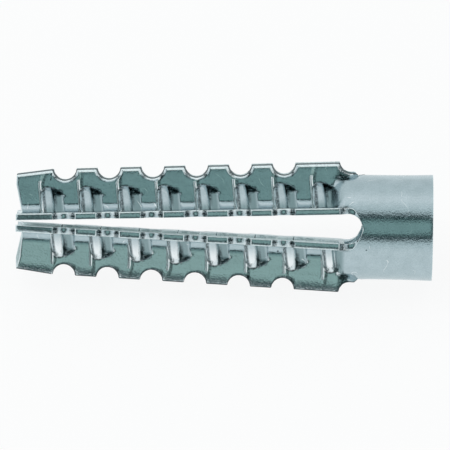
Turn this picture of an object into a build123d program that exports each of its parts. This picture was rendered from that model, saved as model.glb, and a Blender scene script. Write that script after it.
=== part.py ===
from build123d import *
import math
import os

# A one-piece expansion sleeve of sheet steel, in millimetres.
# The sleeve lies along X with its mouth at the origin, facing +X, and its legs run towards -X.
# A station is a distance from the mouth, measured back along the sleeve.

# Blank
sheet = 0.6
length = 38.0

# Collar, the round tube that the screw enters
bore_radius = 4.2
seam_gap = 0.12
slot_width = 2.75
slot_end_station = 6.4
flare_station = 6.2
flare_rise = 0.12
shoulder_station = 8.5
shoulder_run = 0.8
shoulder_foot_radius = 2.9

# Legs, four angle sections bent in towards the tip
leg_count = 4
leg_lean = 3.2
hinge_station = 7.2
bend_radius = 0.55
fin_rise = 1.17
fin_taper = 0.3
tip_tooth_taper = 6.0
tip_undercut = 0.45
ear_station = 6.7
ear_rise = 0.05

# Punched holes that make the teeth
notch_radius = 1.13
notch_lift = 0.15
root_hole_station = 7.5
first_notch_station = 13.5
notch_pitch = 4.0
tip_tooth_length = 3.2

# Thread seats, pressed out of the bend of each leg beside a sheared slit
thread_pitch = 3.54
first_slit_station = 10.12
slit_tilt = 5.0
slit_width = 0.12
slit_to_notch = 0.35
tip_margin = 1.0
crown_clearance = 0.15
crown_width = 1.05
crown_edge = 0.28
step_drop = 0.75
seat_width = 2.0
seat_ramp = 0.4

collar_radius = bore_radius + sheet
half_gap = slot_width / 2
leg_angle = 360.0 / leg_count
half_turn = math.radians(leg_angle / 2)
seam_turn = 180.0 + leg_angle / 2
fin_reach = collar_radius + fin_rise
outer_bend = bend_radius + sheet
bend_centre = (half_gap + outer_bend) / math.sin(half_turn)
seat_foot = bend_centre - (outer_bend * math.sin(half_turn) + bend_radius) / 2
slit_reach = fin_reach + notch_lift - notch_radius - slit_to_notch
crown_radius = collar_radius - crown_clearance
step_height = crown_radius - step_drop
far = 2 * length


def leg_directions(number):
    # out is the middle of the leg, around runs the way a right-hand thread advances to the mouth.
    turn = math.radians(180.0 - leg_angle * number)
    out = Vector(0, math.cos(turn), math.sin(turn))
    around = Vector(1, 0, 0).cross(out)
    lean = math.radians(leg_lean)
    along = Vector(-1, 0, 0) * math.cos(lean) - out * math.sin(lean)
    leaned_out = out * math.cos(lean) - Vector(1, 0, 0) * math.sin(lean)
    hinge = Vector(-hinge_station, 0, 0) + out * collar_radius
    origin = hinge - leaned_out * collar_radius
    return origin, along, leaned_out, around


def arm_plane(number):
    # The face of one arm that looks at the slot, x along the leg and y away from the axis.
    origin, along, out, around = leg_directions(number)
    normal = out * math.sin(half_turn) - around * math.cos(half_turn)
    return Plane(origin + normal * half_gap, x_dir=along, z_dir=normal)


def notch_stations():
    stations = []
    station = first_notch_station
    while station < length - tip_tooth_length:
        stations.append(station)
        station += notch_pitch
    return stations


def slit_stations(number):
    stations = []
    station = first_slit_station + number * thread_pitch / leg_count
    while station < length - tip_margin:
        stations.append(station)
        station += thread_pitch
    return stations


def seat_planes(number, station):
    # Two planes along a leg, x towards the mouth, tilted with the thread.
    # The first has y along one arm, to turn a crown from, and the second y along the leg's middle.
    origin, along, out, around = leg_directions(number)
    tilt = math.radians(slit_tilt)
    to_mouth = along * -math.cos(tilt) - around * math.sin(tilt)
    tilted_around = around * math.cos(tilt) - along * math.sin(tilt)
    place = origin + along * (station - hinge_station)
    arm = out * math.cos(half_turn) - tilted_around * math.sin(half_turn)
    turning_plane = Plane(place, x_dir=to_mouth, z_dir=to_mouth.cross(arm))
    middle_plane = Plane(place, x_dir=to_mouth, z_dir=to_mouth.cross(out))
    return turning_plane, middle_plane


def build_collar():
    # A tube that flares a little, then turns in as a shoulder that runs down to the bends of the legs.
    shoulder_radius = collar_radius + flare_rise
    inner_radius = bore_radius + flare_rise
    slope = math.atan2(shoulder_run, shoulder_radius - shoulder_foot_radius)
    wall_shift = sheet / math.cos(slope)
    inner_start = shoulder_station - wall_shift + sheet * math.tan(slope)
    inner_foot = shoulder_foot_radius - sheet * math.sin(slope)
    inner_end = inner_start + (inner_radius - inner_foot) * math.tan(slope)
    with BuildPart() as collar:
        with BuildSketch(Plane.XY):
            Polygon(
                (0, bore_radius),
                (0, collar_radius),
                (-flare_station, collar_radius),
                (-shoulder_station, shoulder_radius),
                (-shoulder_station - shoulder_run, shoulder_foot_radius),
                (-inner_end, inner_foot),
                (-inner_start, inner_radius),
                (-flare_station, bore_radius),
                align=None,
            )
        revolve(axis=Axis.X)
        for number in range(leg_count):
            with BuildSketch(Plane.XY.rotated((leg_angle * (number + 0.5), 0, 0))):
                with Locations((-slot_end_station - half_gap - far / 2, 0)):
                    Rectangle(far, slot_width)
                with Locations((-slot_end_station - half_gap, 0)):
                    Circle(half_gap)
            extrude(amount=far, mode=Mode.SUBTRACT)
        with BuildSketch(Plane.XY.rotated((seam_turn, 0, 0))):
            with Locations((-length / 2, 0)):
                Rectangle(length, seam_gap)
        extrude(amount=far, mode=Mode.SUBTRACT)
    return collar.part


def seat_sector(number, margin):
    # The space between a leg's two arms, from inside the slot faces outwards.
    origin, along, out, around = leg_directions(number)
    corner = origin + out * (half_gap - margin) / math.sin(half_turn)
    side = far * math.sin(half_turn)
    rise = far * math.cos(half_turn)
    with BuildPart() as sector:
        with BuildSketch(Plane(corner, x_dir=out, z_dir=along)):
            Polygon((0, 0), (rise, -side), (2 * rise, 0), (rise, side), align=None)
        extrude(amount=far, both=True)
    return sector.part


def build_seats(number):
    # The outsides of a leg's thread seats, each a round crown with a flat step on its mouth side.
    with BuildPart() as seats:
        for station in slit_stations(number):
            turning_plane, middle_plane = seat_planes(number, station)
            with BuildSketch(turning_plane):
                Polygon(
                    (0, seat_foot),
                    (0, crown_radius - crown_edge / 2),
                    (crown_width / 2, crown_radius),
                    (crown_width, crown_radius - crown_edge),
                    (crown_width, seat_foot),
                    align=None,
                )
            revolve(axis=Axis(turning_plane.origin, turning_plane.x_dir), revolution_arc=leg_angle)
            with BuildSketch(middle_plane):
                Polygon(
                    (crown_width / 2, seat_foot),
                    (crown_width / 2, step_height),
                    (seat_width, step_height),
                    (seat_width + seat_ramp, seat_foot),
                    align=None,
                )
            extrude(amount=collar_radius, both=True)
        add(seat_sector(number, 0), mode=Mode.INTERSECT)
    return seats.part


def build_hollows(number):
    # The insides of the seats, open to the slit on their side towards the tip.
    with BuildPart() as hollows:
        for station in slit_stations(number):
            turning_plane, middle_plane = seat_planes(number, station)
            with BuildSketch(turning_plane):
                Rectangle(
                    crown_width - sheet / 2,
                    crown_radius - sheet,
                    align=Align.MIN,
                )
            revolve(axis=Axis(turning_plane.origin, turning_plane.x_dir), revolution_arc=leg_angle)
            with BuildSketch(turning_plane):
                Rectangle(slit_width, slit_reach, align=(Align.MAX, Align.MIN))
            extrude(amount=slit_reach)
            with BuildSketch(middle_plane):
                Polygon(
                    (0, 0),
                    (0, step_height - sheet),
                    (seat_width - seat_ramp, step_height - sheet),
                    (seat_width, seat_foot - sheet),
                    (seat_width, 0),
                    align=None,
                )
            extrude(amount=collar_radius, both=True)
        add(seat_sector(number, half_gap / 2), mode=Mode.INTERSECT)
    return hollows.part


def build_leg(number):
    origin, along, out, around = leg_directions(number)
    tip = length - hinge_station
    tip_tooth = tip - tip_tooth_length
    tip_reach = fin_reach - tip * math.tan(math.radians(fin_taper))
    corner_reach = tip_reach - tip_tooth_length * math.tan(math.radians(tip_tooth_taper))
    ear = ear_station - hinge_station
    shoulder = shoulder_station - hinge_station
    bend_reach = half_gap / math.tan(half_turn)
    wall_middle = bore_radius + sheet / 2
    with BuildPart() as leg:
        with BuildSketch(arm_plane(number)):
            Polygon(
                (ear, wall_middle),
                (ear, collar_radius + ear_rise),
                (0, fin_reach),
                (tip_tooth, tip_reach),
                (tip, corner_reach),
                (tip - tip_undercut, bend_reach),
                (shoulder + shoulder_run / 2, bend_reach),
                (shoulder + shoulder_run / 2, shoulder_foot_radius),
                (shoulder, wall_middle),
                align=None,
            )
            with Locations((root_hole_station - hinge_station, fin_reach + notch_lift)):
                Circle(notch_radius, mode=Mode.SUBTRACT)
            for station in notch_stations():
                run = station - hinge_station
                line = fin_reach - run * math.tan(math.radians(fin_taper))
                with Locations((run, line + notch_lift)):
                    Circle(notch_radius, mode=Mode.SUBTRACT)
        extrude(amount=sheet)
        mirror(about=Plane(origin, z_dir=around))
        middle = origin + along * (tip / 2)
        fillet(leg.edges().sort_by_distance(middle)[0], outer_bend)
        hollow_side = middle + out * (half_gap + sheet) / math.sin(half_turn)
        fillet(leg.edges().sort_by_distance(hollow_side)[0], bend_radius)
        add(build_seats(number))
        add(build_hollows(number), mode=Mode.SUBTRACT)
    return leg.part


with BuildPart() as anchor_sleeve:
    add(build_collar())
    for number in range(leg_count):
        add(build_hollows(number), mode=Mode.SUBTRACT)
    for number in range(leg_count):
        add(build_leg(number))

anchor_sleeve.part.label = "anchor_sleeve"
os.makedirs("parts", exist_ok=True)
export_step(anchor_sleeve.part, "parts/anchor_sleeve.step")
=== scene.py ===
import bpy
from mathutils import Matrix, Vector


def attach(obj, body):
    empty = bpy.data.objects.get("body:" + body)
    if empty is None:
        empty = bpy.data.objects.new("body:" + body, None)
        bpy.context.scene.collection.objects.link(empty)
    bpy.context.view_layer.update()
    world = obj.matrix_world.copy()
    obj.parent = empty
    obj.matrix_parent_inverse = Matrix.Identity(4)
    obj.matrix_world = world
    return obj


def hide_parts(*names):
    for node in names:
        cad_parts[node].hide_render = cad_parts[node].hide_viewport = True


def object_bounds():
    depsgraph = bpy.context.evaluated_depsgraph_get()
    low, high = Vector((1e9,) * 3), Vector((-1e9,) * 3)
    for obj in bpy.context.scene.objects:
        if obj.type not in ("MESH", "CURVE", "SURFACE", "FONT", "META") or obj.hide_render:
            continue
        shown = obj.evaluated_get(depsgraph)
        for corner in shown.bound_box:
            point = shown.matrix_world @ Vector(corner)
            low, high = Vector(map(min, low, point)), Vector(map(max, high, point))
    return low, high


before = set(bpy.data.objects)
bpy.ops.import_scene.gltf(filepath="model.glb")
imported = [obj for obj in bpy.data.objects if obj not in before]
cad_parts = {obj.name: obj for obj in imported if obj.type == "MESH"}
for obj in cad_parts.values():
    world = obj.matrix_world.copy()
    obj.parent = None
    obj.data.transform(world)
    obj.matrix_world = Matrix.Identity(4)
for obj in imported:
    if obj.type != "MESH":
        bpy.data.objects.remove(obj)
solidBox = [list(corner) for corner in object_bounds()]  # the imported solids' box

import math
import bpy
from mathutils import Matrix, Vector

mm = 0.001
print("frame loaded:", sorted(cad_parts))

# Sleeve: cut and pressed from one flat blank of sheet steel.
# All sizes are in mm: a station is a distance from the mouth, a reach a distance from the axis.
sleeve = {
    "name": "pressedSleeve",
    "sheet": 0.6,
    "length": 38.0,
    "outsideRadius": 4.77,
    "mouthFlare": 0.08,
    "mouthFlareEnd": 4.0,
    "rootFlare": 0.12,
    "rootFlareStart": 5.9,
    "rootFlareEnd": 8.4,
    "seamGap": 0.12,
    "slotEnd": 6.4,
    "halfGap": 1.375,
    "legs": 4,
    "blankOrder": [2, 1, 0, 3],  # legs in their order round the sleeve, from the seam to the seam
    "lean": 3.2,
    "leanSlack": [0.15, -0.5, -0.5, 0.15],  # each leg is bent a little more or less than the rest
    "leanStations": (6.6, 8.4),
    "hinge": 7.2,
    "bendRadius": 0.85,
    "finReach": 5.97,
    "finTaper": 0.3,
    "tipTaper": 6.0,
    "tipUndercut": 0.45,
    "earStart": 6.68,
    "earPeak": 6.86,
    "shoulderStart": 8.05,
    "shoulderRun": 1.25,
    "innerShoulder": 0.55,  # how much sooner the sheet's inner face turns in
    "finStarts": (6.5, 6.6),  # where a fin leaves the tube's round, at its foot and at its edge
    "finEnds": (8.3, 7.2),
    "innerFinStart": 0.1,
    "innerFinEnd": 0.3,
    "straightArms": ((1, 1), (0, -1), (0, 1)),  # leg and side of the arms with hardly rounded fins
    "straightSlant": 0.02,
    "edgeSlant": 0.16,
    "edgeRound": 0.24,
    "roundShares": {"fin": 0.72, "straight": 0.38, "under": 0.14,
                    "slit": 0.7, "farSlit": 0.12, "corner": 0.3},
    "cornersFrom": 8.5,
    "cornerTurn": 40,  # teeth have sharp corners where their edge turns more than this
    "smoothTurn": 38,
    "flatFaceWeight": 90,
}

# Teeth: half-round notches punched along the fins.
teeth = {
    "radius": 1.03,
    "lift": 0.06,
    "rootHole": 7.46,
    "firstNotch": 13.6,
    "pitch": 4.0,
    "tipTooth": 3.2,
    "spread": 0.17,
}

# Seats: the thread's crowns and steps, each pressed up beside a sheared slit.
seats = {
    "pitch": 3.54,
    "firstSlit": 10.12,
    "tilt": 5.0,
    "slitWidth": 0.09,
    "slitToEdge": 0.25,
    "tipMargin": 1.0,
    "crownTop": 4.65,
    "crownDrop": 0.75,
    "crownMiddle": 0.76,
    "crownHalves": (0.5, 0.8),  # towards the step and towards the slit
    "innerMiddle": 0.1,  # the inside of a crown lies nearer the slit and is narrower
    "innerHalf": 0.2,
    "crownMarks": [0.12, 0.24, 0.37, 0.5, 0.64, 0.78, 0.92, 1.05, 1.17, 1.27],
    "stepHeight": 3.78,
    "stepStart": 0.5,
    "stepEnd": 2.05,
    "joinedBefore": 11.2,  # a first step this near the shoulder runs into it
    "joinedEnd": 2.75,
    "joinedRamp": (8.2, 9.5),
    "stepRamp": 0.2,
    "stepFoot": 2.2,
    "innerStep": 0.45,
    "stepMarks": [1.33, 1.55, 1.8, 2.05, 2.13, 2.25],
    "softness": 0.07,
    "creaseWidths": (0.04, 0.16),
    "liftedHeight": 0.1,
    "tiltStations": (8.0, 9.0),
    "dent": 0.28,
    "dentMarks": (0.95, 1.2, 2.0, 2.2),
    "dentSlope": (1.0, 1.15),  # where its top starts to fall, and over what length
    "dentTops": (4.25, 3.5),
    "dentFeet": (3.2, 3.4),
    "dentEdge": 0.2,
}

# Grid: how finely the blank is divided.
grid = {
    "collarStations": [0, 0.5, 1.5, 2.6, 3.8, 5.0, 5.8, 6.4],
    "slotTurns": [13, 26, 38.6, 48.3, 58, 68, 79, 90],
    "bendRows": 4,
    "armReaches": [2.95, 3.07, 3.19, 3.31, 3.43, 3.55, 3.67, 3.79, 3.91, 4.03, 4.15, 4.27, 4.38, 4.5],
    "edgeShares": [0.1, 0.27, 1.0],
    "tubeInner": 0.87,
    "widestColumn": 0.27,
    "narrowest": 0.1,
    "finRows": (14, 21),  # rows over which the fin's own start takes over from the shoulder
    "stripWidth": 7.5,
    "legShare": 0.8,  # how much of its strip a leg takes, so that the slots stay open
}

halfTurn = math.radians(180 / sleeve["legs"])
slitRow = grid["bendRows"] + len(grid["armReaches"])
sideRows = slitRow + len(grid["edgeShares"])
tipStart = sleeve["length"] - teeth["tipTooth"]
bendCentre = (sleeve["halfGap"] + sleeve["sheet"] + sleeve["bendRadius"]) / math.sin(halfTurn)


def ease(value, low, high):
    part = min(1.0, max(0.0, (value - low) / (high - low)))
    return part * part * (3 - 2 * part)


def band(value, marks):
    # Rises from the first mark to the second, and falls from the third to the fourth.
    return ease(value, marks[0], marks[1]) * (1 - ease(value, marks[2], marks[3]))


def mix(first, second, share):
    return first + (second - first) * share


def softMax(first, second, softness):
    overlap = max(0.0, softness - abs(first - second)) / softness
    return max(first, second) + overlap * overlap * softness / 4


def legSlits(leg):
    first = seats["firstSlit"] + leg * seats["pitch"] / sleeve["legs"]
    count = int((sleeve["length"] - seats["tipMargin"] - first) / seats["pitch"]) + 1
    return [first + seats["pitch"] * turn for turn in range(count)]


def notchStations():
    count = int((tipStart - teeth["firstNotch"]) / teeth["pitch"]) + 1
    return [teeth["firstNotch"] + teeth["pitch"] * number for number in range(count)]


def finLine(station):
    run = min(station, tipStart) - sleeve["hinge"]
    tipRun = max(0.0, station - tipStart)
    return (sleeve["finReach"] - run * math.tan(math.radians(sleeve["finTaper"]))
            - tipRun * math.tan(math.radians(sleeve["tipTaper"])))


def slotHalfWidth(station):
    short = sleeve["slotEnd"] + sleeve["halfGap"] - station
    if short <= 0:
        return sleeve["halfGap"]
    return math.sqrt(max(0.0, sleeve["halfGap"] ** 2 - short ** 2))


def edgeStretches(snap, setBack):
    # The fin's edge from the root hole to the tip, as notches and the tooth tops between them.
    halfNotch = math.sqrt(teeth["radius"] ** 2 - teeth["lift"] ** 2)
    radius = teeth["radius"] + setBack
    cornerTurn = math.asin((teeth["lift"] + setBack) / radius)
    half = radius * math.cos(cornerTurn)
    slotStraight = sleeve["slotEnd"] + sleeve["halfGap"]
    rootTurn = math.acos((slotStraight - teeth["rootHole"]) / radius)
    stretches = [{"from": slotStraight, "to": snap(teeth["rootHole"] + halfNotch + teeth["spread"]),
                  "centre": teeth["rootHole"], "turns": (rootTurn, cornerTurn)}]
    for centre in notchStations():
        start = snap(centre - halfNotch - teeth["spread"])
        stretches.append({"from": stretches[-1]["to"], "to": start,
                          "edges": (stretches[-1]["centre"] + half, centre - half)})
        stretches.append({"from": start, "to": snap(centre + halfNotch + teeth["spread"]),
                          "centre": centre, "turns": (math.pi - cornerTurn, cornerTurn)})
    lastEdge = stretches[-1]["centre"] + half
    toothStart = snap(tipStart + teeth["spread"])
    stretches.append({"from": stretches[-1]["to"], "to": toothStart, "edges": (lastEdge, tipStart)})
    stretches.append({"from": toothStart, "to": sleeve["length"], "edges": (tipStart, sleeve["length"])})
    return stretches


def edgePoint(stretches, station, setBack):
    # Where the column at a station ends on the fin's edge: its station there and its reach.
    stretch = next(s for s in stretches if station <= s["to"] + 1e-9)
    share = (station - stretch["from"]) / (stretch["to"] - stretch["from"])
    if "turns" in stretch:
        turn = mix(stretch["turns"][0], stretch["turns"][1], share)
        radius = teeth["radius"] + setBack
        middle = finLine(stretch["centre"]) + teeth["lift"]
        return stretch["centre"] + radius * math.cos(turn), middle - radius * math.sin(turn)
    edge = mix(stretch["edges"][0], stretch["edges"][1], share)
    return edge, finLine(edge) - setBack


def rootEdge(station, setBack):
    # The strip's edge beside the slot's round end, with the small ear left by the root hole.
    tubeReach = math.sqrt(sleeve["outsideRadius"] ** 2 - slotHalfWidth(station) ** 2)
    across = max(0.0, (teeth["radius"] + setBack) ** 2 - (station - teeth["rootHole"]) ** 2)
    hole = finLine(teeth["rootHole"]) + teeth["lift"] - math.sqrt(across)
    ear = mix(tubeReach, hole, ease(station, sleeve["earStart"], sleeve["earPeak"]))
    return hole if station > sleeve["earPeak"] else ear


def legColumns(leg):
    # Every station at which the leg's strip is divided, with the place of its edge.
    # The punch leaves the edge slanted: the outside of the sheet is set back from the slot's side,
    # most of all on the fins, and hardly on the straight arms.
    hard = []
    for slit in legSlits(leg):
        hard += [slit + seats["slitWidth"], slit]
        hard += [slit - mark for mark in seats["crownMarks"] + seats["stepMarks"]]
    hard = sorted(station for station in hard if station > sleeve["slotEnd"] + sleeve["halfGap"])

    def snap(station):
        nearest = min(hard, key=lambda mark: abs(mark - station))
        return nearest if abs(nearest - station) < grid["narrowest"] else station

    setBacks = (sleeve["edgeSlant"], 0.0, sleeve["straightSlant"])
    stretches = [edgeStretches(snap, setBack) for setBack in setBacks]
    columns = [{"station": s, "edge": (s, s, s), "reach": (0.0, 0.0, 0.0), "slotHalf": 0.0}
               for s in grid["collarStations"]]
    for number, degrees in enumerate(grid["slotTurns"], start=1):
        turn = math.radians(degrees)
        edge = sleeve["slotEnd"] + sleeve["halfGap"] * (1 - math.cos(turn))
        station = sleeve["slotEnd"] + sleeve["halfGap"] * number / len(grid["slotTurns"])
        columns.append({"station": station, "edge": (edge, edge, edge),
                        "slotHalf": sleeve["halfGap"] * math.sin(turn),
                        "reach": tuple(rootEdge(edge, setBack) for setBack in setBacks)})
    for mark in sorted(set(hard + [stretch["to"] for stretch in stretches[0]])):
        last = columns[-1]["station"]
        parts = max(1, math.ceil((mark - last) / grid["widestColumn"]))
        for part in range(1, parts + 1):
            station = mix(last, mark, part / parts)
            points = [edgePoint(stretch, station, setBack) for stretch, setBack in zip(stretches, setBacks)]
            columns.append({"station": station, "edge": tuple(point[0] for point in points),
                            "reach": tuple(point[1] for point in points), "slotHalf": sleeve["halfGap"]})
    slits = legSlits(leg)
    tipLast = max(slits[-1] + seats["slitWidth"], tipStart + teeth["spread"])
    for column in columns:
        ahead = [slit - column["station"] for slit in slits if slit > column["station"] - 1e-6]
        column["behindSlit"] = max(0.0, min(ahead)) if ahead else sleeve["length"]
        joined = column["station"] < slits[0] < seats["joinedBefore"]
        column["stepEnd"] = seats["joinedEnd"] if joined else seats["stepEnd"]
        column["slit"] = any(abs(slit - column["station"]) < 1e-6 for slit in slits)
        column["slitRows"] = slitRow + sum(
            mix(grid["armReaches"][-1], column["reach"][0], share) < column["reach"][0] - seats["slitToEdge"]
            for share in grid["edgeShares"])
        column["tipShare"] = max(0.0, (column["station"] - tipLast) / (sleeve["length"] - tipLast))
    return columns


def armOf(leg, row):
    return leg, 1 if row > 0 else -1


def edgeKind(leg, side, depth):
    # Which of a column's edges belongs to an arm: its slot side, or the outside of one of two kinds.
    return 1 if depth else 2 * ((leg, side) in sleeve["straightArms"])


def legFrame(leg):
    turn = math.radians(180 - 360 * leg / sleeve["legs"])
    out = Vector((0, math.cos(turn), math.sin(turn)))
    around = Vector((1, 0, 0)).cross(out)
    lean = math.radians(sleeve["lean"] + sleeve["leanSlack"][leg])
    along = Vector((-math.cos(lean), 0, 0)) - out * math.sin(lean)
    leanedOut = out * math.cos(lean) - Vector((math.sin(lean), 0, 0))
    hinge = Vector((-sleeve["hinge"], 0, 0)) + out * sleeve["outsideRadius"]
    return {"out": out, "around": around, "along": along, "leanedOut": leanedOut,
            "origin": hinge - leanedOut * sleeve["outsideRadius"]}


def tubeRadius(station):
    toMouth = max(0.0, 1 - station / sleeve["mouthFlareEnd"])
    toRoot = ease(station, sleeve["rootFlareStart"], sleeve["rootFlareEnd"])
    return sleeve["outsideRadius"] + sleeve["mouthFlare"] * toMouth ** 2 + sleeve["rootFlare"] * toRoot


def pressedHeight(column, turn, inset):
    # How far out a seat lifts the sheet, as a distance from the axis: a round crown and a flat step.
    behind = column["behindSlit"]
    narrow = inset / sleeve["sheet"]
    middle = seats["crownMiddle"] - seats["innerMiddle"] * narrow
    half = seats["crownHalves"][int(behind < middle)] - seats["innerHalf"] * narrow
    offset = (behind - middle) / half
    height = 0.0
    if abs(offset) < 1:
        fall = 1 - math.sqrt(1 - offset * offset)
        height = seats["crownTop"] - inset - seats["crownDrop"] * fall
    stepEnd = column["stepEnd"] - seats["innerStep"] * inset
    if seats["stepStart"] < behind < stepEnd + seats["stepRamp"]:
        drop = ease(behind, stepEnd, stepEnd + seats["stepRamp"])
        step = mix(seats["stepHeight"] - inset, seats["stepFoot"], drop) / math.cos(turn)
        if column["stepEnd"] > seats["stepEnd"]:
            foot = tubeRadius(column["station"]) - inset - seats["softness"]
            step = mix(foot, step, ease(column["station"], *seats["joinedRamp"]))
        height = max(height, step)
    return height


def dentShape(behind, reach):
    # The pocket beside a crown, a triangle that narrows towards the step's far end.
    top = mix(*seats["dentTops"], (behind - seats["dentSlope"][0]) / seats["dentSlope"][1])
    return (band(behind, seats["dentMarks"]) * ease(top - reach, 0.0, seats["dentEdge"])
            * ease(reach, *seats["dentFeet"]))


def armReach(step):
    return grid["armReaches"][min(step, slitRow) - grid["bendRows"] - 1]


def sectionPoint(leg, column, row, depth):
    # One point of the pressed sheet, as a station, a distance out and a distance around,
    # with how near a crease it lies and whether a seat lifts it.
    side = 1 if row >= 0 else -1
    step = abs(row)
    inset = depth * sleeve["sheet"]
    station = column["station"]
    outer = grid["edgeShares"][step - slitRow - 1] if step > slitRow else 0.0
    kind = edgeKind(leg, side, depth)

    if step <= grid["bendRows"]:
        turn = (math.pi / 2 - halfTurn) * step / grid["bendRows"]
        radius = sleeve["bendRadius"] + inset
        out = bendCentre - radius * math.cos(turn)
        around = radius * math.sin(turn)
    else:
        reach = mix(armReach(step), column["reach"][kind], outer)
        gap = column["slotHalf"] + sleeve["sheet"] - inset
        if depth == 0:
            gap -= seats["dent"] * dentShape(column["behindSlit"], reach)
        out = reach * math.cos(halfTurn) + gap * math.sin(halfTurn)
        around = reach * math.sin(halfTurn) - gap * math.cos(halfTurn)

    radius = tubeRadius(station) - inset
    slotHalf = column["slotHalf"]
    if (leg, side) in ((sleeve["blankOrder"][0], -1), (sleeve["blankOrder"][-1], 1)):
        slotHalf = max(slotHalf, sleeve["seamGap"] / 2)
    tubeShare = mix(grid["tubeInner"] * min(step, slitRow) / slitRow, 1.0, outer)
    tubeTurn = (halfTurn - math.asin(slotHalf / radius)) * tubeShare
    tubeOut = radius * math.cos(tubeTurn)
    tubeAround = radius * math.sin(tubeTurn)

    shoulder = sleeve["shoulderStart"] - sleeve["innerShoulder"] * depth
    inside = ease(station, shoulder, shoulder + sleeve["shoulderRun"])
    finStart = mix(*sleeve["finStarts"], outer) - sleeve["innerFinStart"] * depth
    finEnd = mix(sleeve["finEnds"][0] - sleeve["innerFinEnd"] * depth, sleeve["finEnds"][1], outer)
    share = mix(inside, ease(column["edge"][kind], finStart, finEnd), ease(step, *grid["finRows"]))
    out = mix(tubeOut, out, share)
    around = mix(tubeAround, around, share)

    crease = lifted = 0.0
    if step <= slitRow:
        distance = math.hypot(out, around)
        turn = math.atan2(around, out)
        height = pressedHeight(column, turn, inset)
        raised = softMax(distance, height, seats["softness"])
        crease = 1 - ease(abs(distance - height), *seats["creaseWidths"])
        lifted = ease(height - distance, 0.0, seats["liftedHeight"])
        out *= raised / distance
        around *= raised / distance

    tilted = ease(station, *seats["tiltStations"])
    sheared = station - side * around * math.tan(math.radians(seats["tilt"])) * tilted
    place = mix(sheared, column["edge"][kind], outer)
    if column["tipShare"]:
        reach = out * math.cos(halfTurn) + around * math.sin(halfTurn)
        top = column["reach"][kind]
        place -= sleeve["tipUndercut"] * column["tipShare"] * (top - reach) / (top - sleeve["halfGap"])
    return place, out, side * around, crease, lifted


def pressedPlace(leg, place, out, around):
    directions = legFrame(leg)
    straight = Vector((-place, 0, 0)) + directions["out"] * out + directions["around"] * around
    leaned = (directions["origin"] + directions["along"] * (place - sleeve["hinge"])
              + directions["leanedOut"] * out + directions["around"] * around)
    return straight.lerp(leaned, ease(place, *sleeve["leanStations"]))


def deselectAll():
    if bpy.context.object and bpy.context.object.mode != "OBJECT":
        bpy.ops.object.mode_set(mode="OBJECT")
    bpy.ops.object.select_all(action="DESELECT")


def applyModifier(piece, kind, **settings):
    modifier = piece.modifiers.new(kind.lower(), kind)
    for name, value in settings.items():
        setattr(modifier, name, value)
    bpy.context.view_layer.objects.active = piece
    bpy.ops.object.modifier_apply(modifier=modifier.name)


def keepMark(mesh, name, kind, values):
    mark = mesh.attributes.new(name, kind, "POINT")
    mark.data.foreach_set("value", values)


def layOutStrip(leg, number, columns):
    # One quarter of the flat blank: a grid with its slits cut out, lying beside its neighbours.
    bpy.ops.mesh.primitive_grid_add(x_subdivisions=len(columns) - 1, y_subdivisions=2 * sideRows, size=1)
    strip = bpy.context.object
    mesh = strip.data
    columnOf = [round((vertex.co.x + 0.5) * (len(columns) - 1)) for vertex in mesh.vertices]
    rowOf = [round(vertex.co.y * 2 * sideRows) for vertex in mesh.vertices]
    for vertex, column, row in zip(mesh.vertices, columnOf, rowOf):
        station = columns[column]["station"]
        share = 1.0 if station <= sleeve["slotEnd"] else grid["legShare"]
        across = (number + share * row / (2 * sideRows)) * grid["stripWidth"]
        vertex.co = Vector((station, across, 0)) * mm
    keepMark(mesh, "leg", "INT", [leg] * len(rowOf))
    keepMark(mesh, "column", "INT", columnOf)
    keepMark(mesh, "row", "INT", rowOf)

    bpy.ops.object.mode_set(mode="EDIT")
    bpy.ops.mesh.select_mode(type="FACE")
    bpy.ops.mesh.select_all(action="DESELECT")
    bpy.ops.object.mode_set(mode="OBJECT")
    for face in mesh.polygons:
        nearest = min(columnOf[v] for v in face.vertices)
        furthest = max(abs(rowOf[v]) for v in face.vertices)
        face.select = columns[nearest]["slit"] and furthest <= columns[nearest]["slitRows"]
    bpy.ops.object.mode_set(mode="EDIT")
    bpy.ops.mesh.delete(type="FACE")
    bpy.ops.object.mode_set(mode="OBJECT")
    return strip


def makeSleeve(finishes):
    columns = {leg: legColumns(leg) for leg in sleeve["blankOrder"]}
    strips = []
    for number, leg in enumerate(sleeve["blankOrder"]):
        deselectAll()
        strips.append(layOutStrip(leg, number, columns[leg]))
    deselectAll()
    for strip in strips:
        strip.select_set(True)
    blank = strips[0]
    bpy.context.view_layer.objects.active = blank
    bpy.ops.object.join()
    blank.name = sleeve["name"]
    blank.data.name = sleeve["name"]
    for finish in finishes:
        blank.data.materials.append(finish)
    bpy.ops.object.mode_set(mode="EDIT")
    bpy.ops.mesh.select_all(action="SELECT")
    bpy.ops.mesh.remove_doubles(threshold=0.001 * mm)
    bpy.ops.object.mode_set(mode="OBJECT")
    print("blank laid out:", len(blank.data.polygons), "faces")

    applyModifier(blank, "SOLIDIFY", thickness=sleeve["sheet"] * mm, offset=-1)
    pressSheet(blank, columns)
    markRim(blank, columns)
    applyModifier(blank, "BEVEL", width=sleeve["edgeRound"] * mm, segments=2, limit_method="WEIGHT",
                  use_clamp_overlap=False, loop_slide=False)
    finishRim(blank)
    print("sleeve pressed:", len(blank.data.polygons), "faces")
    return blank


def readMark(mesh, name):
    values = [0] * len(mesh.vertices)
    mesh.attributes[name].data.foreach_get("value", values)
    return values


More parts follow.
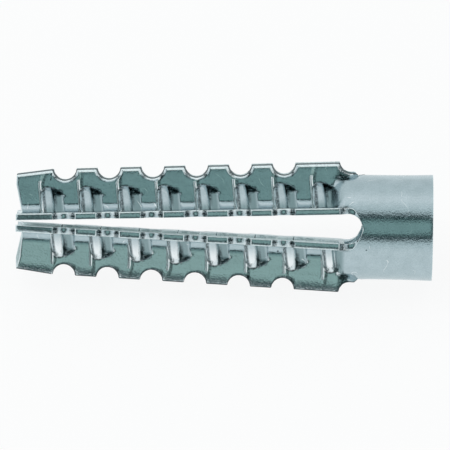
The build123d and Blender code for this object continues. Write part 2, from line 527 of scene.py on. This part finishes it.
def pressSheet(blank, columns):
    mesh = blank.data
    under = [int(vertex.co.z < -0.5 * sleeve["sheet"] * mm) for vertex in mesh.vertices]
    legOf, columnOf, rowOf = (readMark(mesh, name) for name in ("leg", "column", "row"))
    shadeAndDarkMarks, paintedHighlight, shade = [], [], []
    for vertex, leg, number, row, depth in zip(mesh.vertices, legOf, columnOf, rowOf, under):
        column = columns[leg][number]
        place, out, around, crease, lifted = sectionPoint(leg, column, row, depth)
        vertex.co = pressedPlace(leg, place, out, around) * mm
        # Painted shade and painted highlight are kept on the vertices as marks.
        shadeAndDarkMarks.append(max(rimShade(leg, column, row, depth),
                         0.0 if depth else shadeAndDarkMarksAt(leg, column, row, crease, lifted, around)))
        shade.append(0.0 if depth else shadeAt(leg, column, row, lifted * around))
        paintedHighlight.append(0.0 if depth else paintedHighlightAt(leg, column, row, lifted, around))
    keepMark(mesh, "under", "INT", under)
    keepMark(mesh, "shadeAndDarkMarks", "FLOAT", shadeAndDarkMarks)
    keepMark(mesh, "paintedHighlight", "FLOAT", paintedHighlight)
    keepMark(mesh, "shade", "FLOAT", shade)


def shadeAndDarkMarksAt(leg, column, row, crease, lifted, around):
    # Painted shade in the pockets, creases and valleys of the seats, with a dark band just behind
    # each slit and dark speckles where the fins start.
    step = abs(row)
    behind = column["behindSlit"]
    onLeg = ease(column["station"], *paintedLightAndWear["legStations"])
    valley = paintedLightAndWear["valley"] * band(behind, paintedLightAndWear["valleyMarks"]) * lifted
    valley *= onLeg * ease(paintedLightAndWear["outerEnd"][leg] * around, *paintedLightAndWear["valleyFade"])
    slitDark = max(paintedLightAndWear["slitDark"] * band(behind, paintedLightAndWear["slitDarkMarks"]), valley)
    root = paintedLightAndWear["root"] * band(column["station"], paintedLightAndWear["rootMarks"]) * ease(step, *paintedLightAndWear["rootRows"])
    if step > column["slitRows"] or column["station"] < sleeve["slotEnd"]:
        return root
    if step <= grid["bendRows"]:
        return slitDark
    pocket = onLeg * paintedLightAndWear["pocketByLeg"][leg] * dentShape(behind, armReach(step))
    crease *= onLeg * paintedLightAndWear["crease"] * ease(behind, *paintedLightAndWear["creaseMarks"]) * (behind < seats["stepEnd"])
    return max(slitDark, root, pocket, crease)


def shadeAt(leg, column, row, liftedAround):
    # Painted shade on the steps, and on the feet of some legs' crowns.
    onStep = band(column["behindSlit"], paintedLightAndWear["stepMarks"]) * (abs(row) < paintedLightAndWear["stepRows"])
    foot = ease(row * liftedAround, 0.0, 1.0) * ease(liftedAround, *paintedLightAndWear["footFade"])
    return max(paintedLightAndWear["stepByLeg"][leg] * onStep, paintedLightAndWear["crownFootByLeg"][leg] * foot)


def rimShade(leg, column, row, depth):
    # Painted dark reflection on the sheared rim, down the steep walls of the notches.
    if abs(row) < sideRows or column["station"] < sleeve["slotEnd"] + sleeve["halfGap"]:
        return 0.0
    edge = column["edge"][edgeKind(leg, armOf(leg, row)[1], depth)]
    offset = min(abs(edge - centre) for centre in [teeth["rootHole"]] + notchStations()) / teeth["radius"]
    return paintedLightAndWear["notchWall"] * band(offset, paintedLightAndWear["wallShares"])


def paintedHighlightAt(leg, column, row, lifted, around):
    # Painted highlight on the crowns, most of all towards one end, on some rims and along the slits, and one
    # arm is brighter all over.
    onRim = abs(row) == sideRows and column["station"] > sleeve["slotEnd"] + sleeve["halfGap"]
    if onRim and armOf(leg, row) in paintedLightAndWear["brightRims"]:
        return paintedLightAndWear["rimShine"]
    crown = paintedLightAndWear["highlightByLeg"][leg] * lifted * band(column["behindSlit"], paintedLightAndWear["crownMarks"])
    crown *= ease(paintedLightAndWear["outerEnd"][leg] * around, *paintedLightAndWear["crownFade"])
    slitEdge = 1 - ease(column["behindSlit"], *paintedLightAndWear["slitShine"])
    arm = paintedLightAndWear["brightArms"].get(armOf(leg, row), 0.0) * (1 - lifted)
    arm *= ease(abs(row), *paintedLightAndWear["armRows"]) * ease(column["station"], *paintedLightAndWear["armStations"])
    return max(crown, slitEdge, arm)


def markRim(blank, columns):
    # The sheared edges are rounded, least of all those of the straight arms, the slits' far sides
    # and the slot side.
    mesh = blank.data
    shares = sleeve["roundShares"]
    legOf, columnOf, rowOf, under = (readMark(mesh, name) for name in ("leg", "column", "row", "under"))
    rim = [0] * len(mesh.vertices)
    weights = {}
    acrossFaces = {}
    for face in mesh.polygons:
        points = list(face.vertices)
        if len({under[v] for v in points}) < 2:
            continue
        inSlit = all(abs(rowOf[v]) < sideRows and 0 < columnOf[v] < len(columns[legOf[v]]) - 1
                     for v in points)
        atMouth = all(columnOf[v] == 0 for v in points)
        farSlit = inSlit and not all(columns[legOf[v]][columnOf[v]]["slit"] for v in points)
        straight = all(armOf(legOf[v], rowOf[v]) in sleeve["straightArms"] for v in points)
        outer = "farSlit" if farSlit else "slit" if inSlit else "straight" if straight else "fin"
        for point in points:
            rim[point] = 1
        for first, second in face.edge_keys:
            if under[first] == under[second]:
                weights[(first, second)] = shares["under"] if under[first] or atMouth else shares[outer]
            elif not inSlit:
                acrossFaces.setdefault((first, second), []).append(face.normal.copy())
    corner = [0] * len(mesh.vertices)
    for (first, second), normals in acrossFaces.items():
        station = columns[legOf[first]][columnOf[first]]["station"]
        if abs(rowOf[first]) < sideRows or station <= sleeve["cornersFrom"] or len(normals) < 2:
            continue
        if normals[0].angle(normals[1]) > math.radians(sleeve["cornerTurn"]):
            weights[(first, second)] = shares["corner"]
            corner[first] = corner[second] = 1
    keepMark(mesh, "rim", "INT", rim)
    keepMark(mesh, "corner", "INT", corner)
    layer = mesh.attributes.new("bevel_weight_edge", "FLOAT", "EDGE")
    layer.data.foreach_set("value", [weights.get(tuple(sorted(edge.vertices)), 0.0) for edge in mesh.edges])


def finishRim(blank):
    # The rounded edges and the slot sides of the legs are pale, a painted highlight, and some sheared rims
    # are dark, a painted shade.
    mesh = blank.data
    legOf, columnOf, rowOf = (readMark(mesh, name) for name in ("leg", "column", "row"))
    rim, corner, under = (readMark(mesh, name) for name in ("rim", "corner", "under"))
    collarColumns = len(grid["collarStations"]) + len(grid["slotTurns"])
    for face in mesh.polygons:
        sides = {under[v] for v in face.vertices}
        onRim = all(rim[v] for v in face.vertices)
        arms = {armOf(legOf[v], rowOf[v]) for v in face.vertices}
        outermost = all(abs(rowOf[v]) == sideRows for v in face.vertices)
        rounded = onRim and (len(sides) == 1 or all(corner[v] for v in face.vertices))
        slotSide = sides == {1} and min(columnOf[v] for v in face.vertices) >= collarColumns
        wall = len(sides) == 2 or arms == {paintedLightAndWear["darkFin"]}
        # These rims take the dark rim finish, a painted shade.
        dull = onRim and outermost and wall and arms <= set(paintedLightAndWear["darkRims"])
        face.material_index = 2 if dull else int(rounded or slotSide)


# Zinc: bright plating over rolled sheet, streaked along the sleeve.
zinc = {
    "light": (0.55, 0.645, 0.675, 1),
    "dull": (0.45, 0.54, 0.565, 1),
    # The colours below paint light and shade: the dark of painted shade and pits, the painted shade, painted
    # highlights with scratches, the pale edge's painted highlight, and the dark rim's painted shade.
    "shadeAndPitColour": (0.03, 0.05, 0.055, 1),
    "shaded": (0.24, 0.335, 0.345, 1),
    "highlightAndScratch": (0.98, 1, 1, 1),
    "edgeColour": (0.93, 1, 1, 1),
    "edgeMetal": 0.5,
    "darkShadedRim": (0.05, 0.075, 0.08, 1),
    "roughness": (0.07, 0.2),
    "edgeRoughness": (0.35, 0.5),
    "streakScale": (350, 2600, 2600),
    "streakRange": (0.3, 0.7),
    "cloudScale": 900,
    "grainScale": 7000,
    "bumpDepth": 0.012,
    "bumpShares": {"streaks": 0.5, "grain": 1.3},
    "middleRange": (0.35, 0.65),  # the part of a noise that is spread from none to all
    "cutRange": (0.5, 0.85),
    "patchyRange": (0.36, 0.56),
    "patchyShares": (0.4, 1.25),
}

# Painted light and wear: how strongly each painted shade, painted highlight, scratch and pit shows, and
# between which marks.
# Marks with four values are a band: it rises between the first two and falls between the last two.
paintedLightAndWear = {
    "legStations": (8.5, 9.3),
    "slitDark": 0.7,
    "slitDarkMarks": (0.13, 0.24, 0.36, 0.5),  # distances from the slit, as for the other marks of a seat
    # Painted shade in the pockets and creases of the seats.
    "pocketByLeg": [0.45, 0.95, 0.9, 0.6],
    "crease": 0.7,
    "creaseMarks": (0.1, 0.25),
    "root": 0.8,
    "rootMarks": (7.5, 8.0, 8.4, 8.9),  # stations
    "rootRows": (13, 16),
    # Painted dark reflection down the notch walls.
    "notchWall": 0.9,
    "wallShares": (0.5, 0.7, 0.9, 0.98),  # shares of the notch's radius
    # Painted shade on these dark rims and on the dark fin's walls.
    "darkRims": ((1, -1), (0, 1)),  # leg and side of the arm, here and below
    "darkFin": (0, 1),
    # Painted highlight on these rims.
    "brightRims": ((1, 1), (0, -1)),
    "rimShine": 0.45,
    # Painted shade in the valley between a crown and its step.
    "valley": 0.75,
    "valleyMarks": (1.0, 1.15, 1.3, 1.55),
    "valleyFade": (-0.9, 0.5),
    "outerEnd": [1, -1, -1, 1],  # the side of each leg towards which the painted highlight and shade of its seats grow
    # Painted shade on the steps and on the crowns' feet.
    "stepByLeg": [0.85, 1.0, 0.8, 0.8],
    "stepMarks": (1.2, 1.35, 1.95, 2.1),
    "stepRows": 14,
    "crownFootByLeg": [0.0, 0.95, 0.7, 0.0],
    "footFade": (0.3, 1.5),
    # Painted highlight on one arm, on the crowns and along the slits.
    "brightArms": {(0, 1): 0.65},
    "highlightByLeg": [1.0, 0.1, 0.3, 0.8],
    "crownMarks": (0.3, 0.5, 1.1, 1.25),
    "crownFade": (-1.8, 0.3),
    "slitShine": (0.12, 0.2),
    "armStations": (8.0, 9.0),
    "armRows": (4, 6),
    "scratchScale": 365,
    "scratchWidth": 0.005,
    "pitScale": 500,
    "scratchPatches": (0.56, 0.62),
    "scratchPatchScale": 1.7,
    "pitSize": 0.055,
    "pitShare": 0.68,
    "pitDark": 0.8,
}


def addNode(tree, kind, **values):
    node = tree.nodes.new(kind)
    for name, value in values.items():
        if name in node.inputs:
            node.inputs[name].default_value = value
        else:
            setattr(node, name, value)
    return node


def rampNode(tree, factor, stops):
    node = tree.nodes.new("ShaderNodeValToRGB")
    tree.links.new(factor, node.inputs["Fac"])
    while len(node.color_ramp.elements) < len(stops):
        node.color_ramp.elements.new(1.0)
    for element, (place, colour) in zip(node.color_ramp.elements, stops):
        element.position = place
        element.color = colour
    return node.outputs["Color"]


def rangeNode(tree, value, low, high, out):
    node = addNode(tree, "ShaderNodeMapRange", **{"From Min": low, "From Max": high,
                                                  "To Min": out[0], "To Max": out[1]})
    tree.links.new(value, node.inputs["Value"])
    return node.outputs["Result"]


def mixNode(tree, factor, first, second):
    node = addNode(tree, "ShaderNodeMix", data_type="RGBA")
    tree.links.new(factor, node.inputs["Factor"])
    for socket, colour in ((node.inputs[6], first), (node.inputs[7], second)):
        if isinstance(colour, tuple):
            socket.default_value = colour
        else:
            tree.links.new(colour, socket)
    return node.outputs[2]


def mathNode(tree, operation, first, second):
    node = addNode(tree, "ShaderNodeMath", operation=operation)
    for socket, value in ((node.inputs[0], first), (node.inputs[1], second)):
        if isinstance(value, (int, float)):
            socket.default_value = value
        else:
            tree.links.new(value, socket)
    return node.outputs["Value"]


def noiseNode(tree, place, scale, detail):
    node = addNode(tree, "ShaderNodeTexNoise", Scale=scale, Detail=detail, Roughness=0.6)
    tree.links.new(place, node.inputs["Vector"])
    return node.outputs["Fac"]


def markNode(tree, name):
    return addNode(tree, "ShaderNodeAttribute", attribute_name=name).outputs["Fac"]


def scratches(tree, place):
    # Hairlines where a slow noise passes its middle, kept only in patches.
    slow = noiseNode(tree, place, paintedLightAndWear["scratchScale"], 1.0)
    line = mathNode(tree, "ABSOLUTE", mathNode(tree, "SUBTRACT", slow, 0.5), 0)
    hair = rangeNode(tree, line, 0.0, paintedLightAndWear["scratchWidth"], (1.0, 0.0))
    patches = noiseNode(tree, place, paintedLightAndWear["scratchScale"] * paintedLightAndWear["scratchPatchScale"], 2.0)
    return mathNode(tree, "MULTIPLY", hair, rangeNode(tree, patches, *paintedLightAndWear["scratchPatches"], (0.0, 1.0)))


def pits(tree, place):
    # A few small pits, one to a cell and only in some cells.
    cells = addNode(tree, "ShaderNodeTexVoronoi", Scale=paintedLightAndWear["pitScale"])
    tree.links.new(place, cells.inputs["Vector"])
    hole = rangeNode(tree, cells.outputs["Distance"], paintedLightAndWear["pitSize"] * 0.5, paintedLightAndWear["pitSize"], (1.0, 0.0))
    chosen = mathNode(tree, "GREATER_THAN", cells.outputs["Color"], paintedLightAndWear["pitShare"])
    return mathNode(tree, "MULTIPLY", hole, chosen)


def zincFinish(name, kind):
    # The plated sheet, a pale cut edge with a painted highlight, or a cut rim darkened with painted shade.
    material = bpy.data.materials.new(name)
    material.use_nodes = True
    tree = material.node_tree
    shader = tree.nodes["Principled BSDF"]
    shader.inputs["Metallic"].default_value = 1.0 if kind == "sheet" else zinc["edgeMetal"]
    place = addNode(tree, "ShaderNodeTexCoord").outputs["Object"]
    stretch = addNode(tree, "ShaderNodeMapping", Scale=zinc["streakScale"])
    tree.links.new(place, stretch.inputs["Vector"])
    streaks = noiseNode(tree, stretch.outputs["Vector"], 1.0, 4.0)
    clouds = noiseNode(tree, place, zinc["cloudScale"], 4.0)
    grain = noiseNode(tree, place, zinc["grainScale"], 2.0)

    patchy = rangeNode(tree, grain, *zinc["patchyRange"], zinc["patchyShares"])
    # Painted shade, spread in patches.
    dark = mathNode(tree, "MULTIPLY", markNode(tree, "shadeAndDarkMarks"), patchy)
    shares = zinc["bumpShares"]
    height = mathNode(tree, "ADD", mathNode(tree, "MULTIPLY", streaks, shares["streaks"]), clouds)
    height = mathNode(tree, "ADD", height, mathNode(tree, "MULTIPLY", grain, shares["grain"]))
    if kind == "sheet":
        speckle = rangeNode(tree, grain, *zinc["middleRange"], (0.0, 1.0))
        blotch = rangeNode(tree, clouds, *zinc["middleRange"], (0.0, 1.0))
        mottle = mathNode(tree, "MULTIPLY", mathNode(tree, "ADD", speckle, blotch), 0.5)
        plating = mixNode(tree, mottle, zinc["light"], zinc["dull"])
        # Painted shade on the steps and crown feet.
        plating = mixNode(tree, markNode(tree, "shade"), plating, zinc["shaded"])
        # Painted highlight, with real hairline scratches.
        highlightAndScratches = mathNode(tree, "MAXIMUM", markNode(tree, "paintedHighlight"), scratches(tree, place))
        plating = mixNode(tree, highlightAndScratches, plating, zinc["highlightAndScratch"])
        holes = pits(tree, place)
        height = mathNode(tree, "SUBTRACT", height, holes)
        dark = mathNode(tree, "MAXIMUM", dark, mathNode(tree, "MULTIPLY", holes, paintedLightAndWear["pitDark"]))
        colour = mixNode(tree, dark, plating, zinc["shadeAndPitColour"])
    elif kind == "edge":
        # The pale cut edge is a painted highlight, with grain.
        grains = rangeNode(tree, grain, *zinc["cutRange"], (0.0, 1.0))
        cut = mixNode(tree, grains, zinc["edgeColour"], zinc["dull"])
        colour = mixNode(tree, dark, cut, zinc["shadeAndPitColour"])
    else:
        # The dark rim is painted shade.
        colour = mixNode(tree, patchy, zinc["shadeAndPitColour"], zinc["darkShadedRim"])
    roughness = zinc["roughness"] if kind == "sheet" else zinc["edgeRoughness"]
    tree.links.new(colour, shader.inputs["Base Color"])
    tree.links.new(rangeNode(tree, streaks, *zinc["streakRange"], roughness), shader.inputs["Roughness"])
    bump = addNode(tree, "ShaderNodeBump", Strength=1.0, Distance=zinc["bumpDepth"] * mm)
    tree.links.new(height, bump.inputs["Height"])
    tree.links.new(bump.outputs["Normal"], shader.inputs["Normal"])
    return material


# Studio: a white table and a pale tent, with a dark gap round the lens as a lens hole leaves.
studio = {
    "middle": -18.93,
    "elevation": 47.5,
    "roll": 0.8,
    "distance": 900,
    "frameWidth": 41.1,
    "sensor": 36,
    "tentByTurn": [  # colours by the angle from the lens, in degrees
        (14, (0.27, 0.41, 0.4)), (18, (0.02, 0.045, 0.05)), (27, (0.02, 0.045, 0.05)),
        (33, (0.62, 0.71, 0.73)), (48, (0.75, 0.82, 0.84)), (63, (0.95, 0.98, 1.0)),
        (85, (0.74, 0.8, 0.82)), (105, (0.7, 0.76, 0.78)), (140, (0.76, 0.81, 0.83))],
    "tableShade": (0.86, 0.88, 0.88, 1),
    "tableSize": 0.6,
    "tableGlow": 0.9,
    "tableMirrored": (0.83, 0.88, 0.9, 1),
    "lampWatts": 0.25,
    "lampSize": 0.25,
    "lampPlace": (-0.12, -0.05, 0.32),
}


def makeCamera():
    rise = math.radians(studio["elevation"])
    away = Vector((0, -math.cos(rise), math.sin(rise)))
    target = Vector((studio["middle"], 0, 0)) * mm
    deselectAll()
    bpy.ops.object.camera_add(location=target + away * studio["distance"] * mm)
    camera = bpy.context.object
    camera.name = "photoCamera"
    roll = Matrix.Rotation(math.radians(studio["roll"]), 4, "Z")
    camera.rotation_euler = (away.to_track_quat("Z", "Y").to_matrix().to_4x4() @ roll).to_euler()
    camera.data.sensor_width = studio["sensor"]
    camera.data.lens = studio["sensor"] * studio["distance"] / studio["frameWidth"]
    camera.data.clip_start = 0.01
    camera.data.clip_end = 10
    bpy.context.scene.camera = camera
    return away


def whiteForView(tree):
    # Two switches: for the camera alone, and for the camera, mirrors and glass.
    path = addNode(tree, "ShaderNodeLightPath")
    seen = path.outputs["Is Camera Ray"]
    for ray in ("Is Glossy Ray", "Is Transmission Ray"):
        either = addNode(tree, "ShaderNodeMath", operation="MAXIMUM")
        tree.links.new(seen, either.inputs[0])
        tree.links.new(path.outputs[ray], either.inputs[1])
        seen = either.outputs["Value"]
    return path.outputs["Is Camera Ray"], seen


def makeWorld(away):
    # The tent's colours depend on the angle from the lens. The camera itself sees white.
    world = bpy.data.worlds.new("paleTent")
    bpy.context.scene.world = world
    world.use_nodes = True
    tree = world.node_tree
    background = tree.nodes["Background"]
    look = addNode(tree, "ShaderNodeTexCoord").outputs["Generated"]
    toLens = addNode(tree, "ShaderNodeVectorMath", operation="DOT_PRODUCT")
    tree.links.new(look, toLens.inputs[0])
    toLens.inputs[1].default_value = away
    place = rangeNode(tree, toLens.outputs["Value"], -1.0, 1.0, (0.0, 1.0))
    tent = rampNode(tree, place, [((math.cos(math.radians(turn)) + 1) / 2, colour + (1,))
                                  for turn, colour in reversed(studio["tentByTurn"])])
    path = addNode(tree, "ShaderNodeLightPath")
    shown = mixNode(tree, path.outputs["Is Camera Ray"], tent, (1, 1, 1, 1))
    tree.links.new(shown, background.inputs["Color"])


def makeTable(lowest):
    deselectAll()
    bpy.ops.mesh.primitive_plane_add(size=studio["tableSize"], location=(studio["middle"] * mm, 0, lowest))
    table = bpy.context.object
    table.name = "whiteTable"
    material = bpy.data.materials.new("tablePaper")
    material.use_nodes = True
    tree = material.node_tree
    shader = tree.nodes["Principled BSDF"]
    shader.inputs["Base Color"].default_value = studio["tableShade"]
    shader.inputs["Roughness"].default_value = 0.9
    glow = addNode(tree, "ShaderNodeEmission", Strength=1.0)
    toCamera, seen = whiteForView(tree)
    tree.links.new(mixNode(tree, toCamera, studio["tableMirrored"], (1, 1, 1, 1)), glow.inputs["Color"])
    share = addNode(tree, "ShaderNodeMath", operation="MULTIPLY")
    share.inputs[1].default_value = studio["tableGlow"]
    tree.links.new(seen, share.inputs[0])
    blend = addNode(tree, "ShaderNodeMixShader")
    tree.links.new(share.outputs["Value"], blend.inputs["Fac"])
    tree.links.new(shader.outputs["BSDF"], blend.inputs[1])
    tree.links.new(glow.outputs["Emission"], blend.inputs[2])
    tree.links.new(blend.outputs["Shader"], tree.nodes["Material Output"].inputs["Surface"])
    table.data.materials.append(material)


def makeLamp():
    deselectAll()
    place = Vector(studio["lampPlace"])
    bpy.ops.object.light_add(type="AREA", location=place)
    lamp = bpy.context.object
    lamp.name = "softLamp"
    lamp.data.size = studio["lampSize"]
    lamp.data.energy = studio["lampWatts"]
    lamp.visible_glossy = False
    aim = place - Vector((studio["middle"] * mm, 0, 0))
    lamp.rotation_euler = aim.to_track_quat("Z", "Y").to_euler()


away = makeCamera()
makeWorld(away)
makeLamp()
print("studio set")

finishes = [zincFinish("zincSheet", "sheet"), zincFinish("paleHighlightEdge", "edge"),
            zincFinish("darkShadedRim", "rim")]
piece = makeSleeve(finishes)
deselectAll()
piece.select_set(True)
bpy.context.view_layer.objects.active = piece
bpy.ops.object.shade_smooth_by_angle(angle=math.radians(sleeve["smoothTurn"]))
applyModifier(piece, "WEIGHTED_NORMAL", keep_sharp=True, weight=sleeve["flatFaceWeight"])
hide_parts("anchor_sleeve")
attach(piece, "root")
makeTable(solidBox[0][2])

bpy.context.scene.view_settings.view_transform = "Standard"
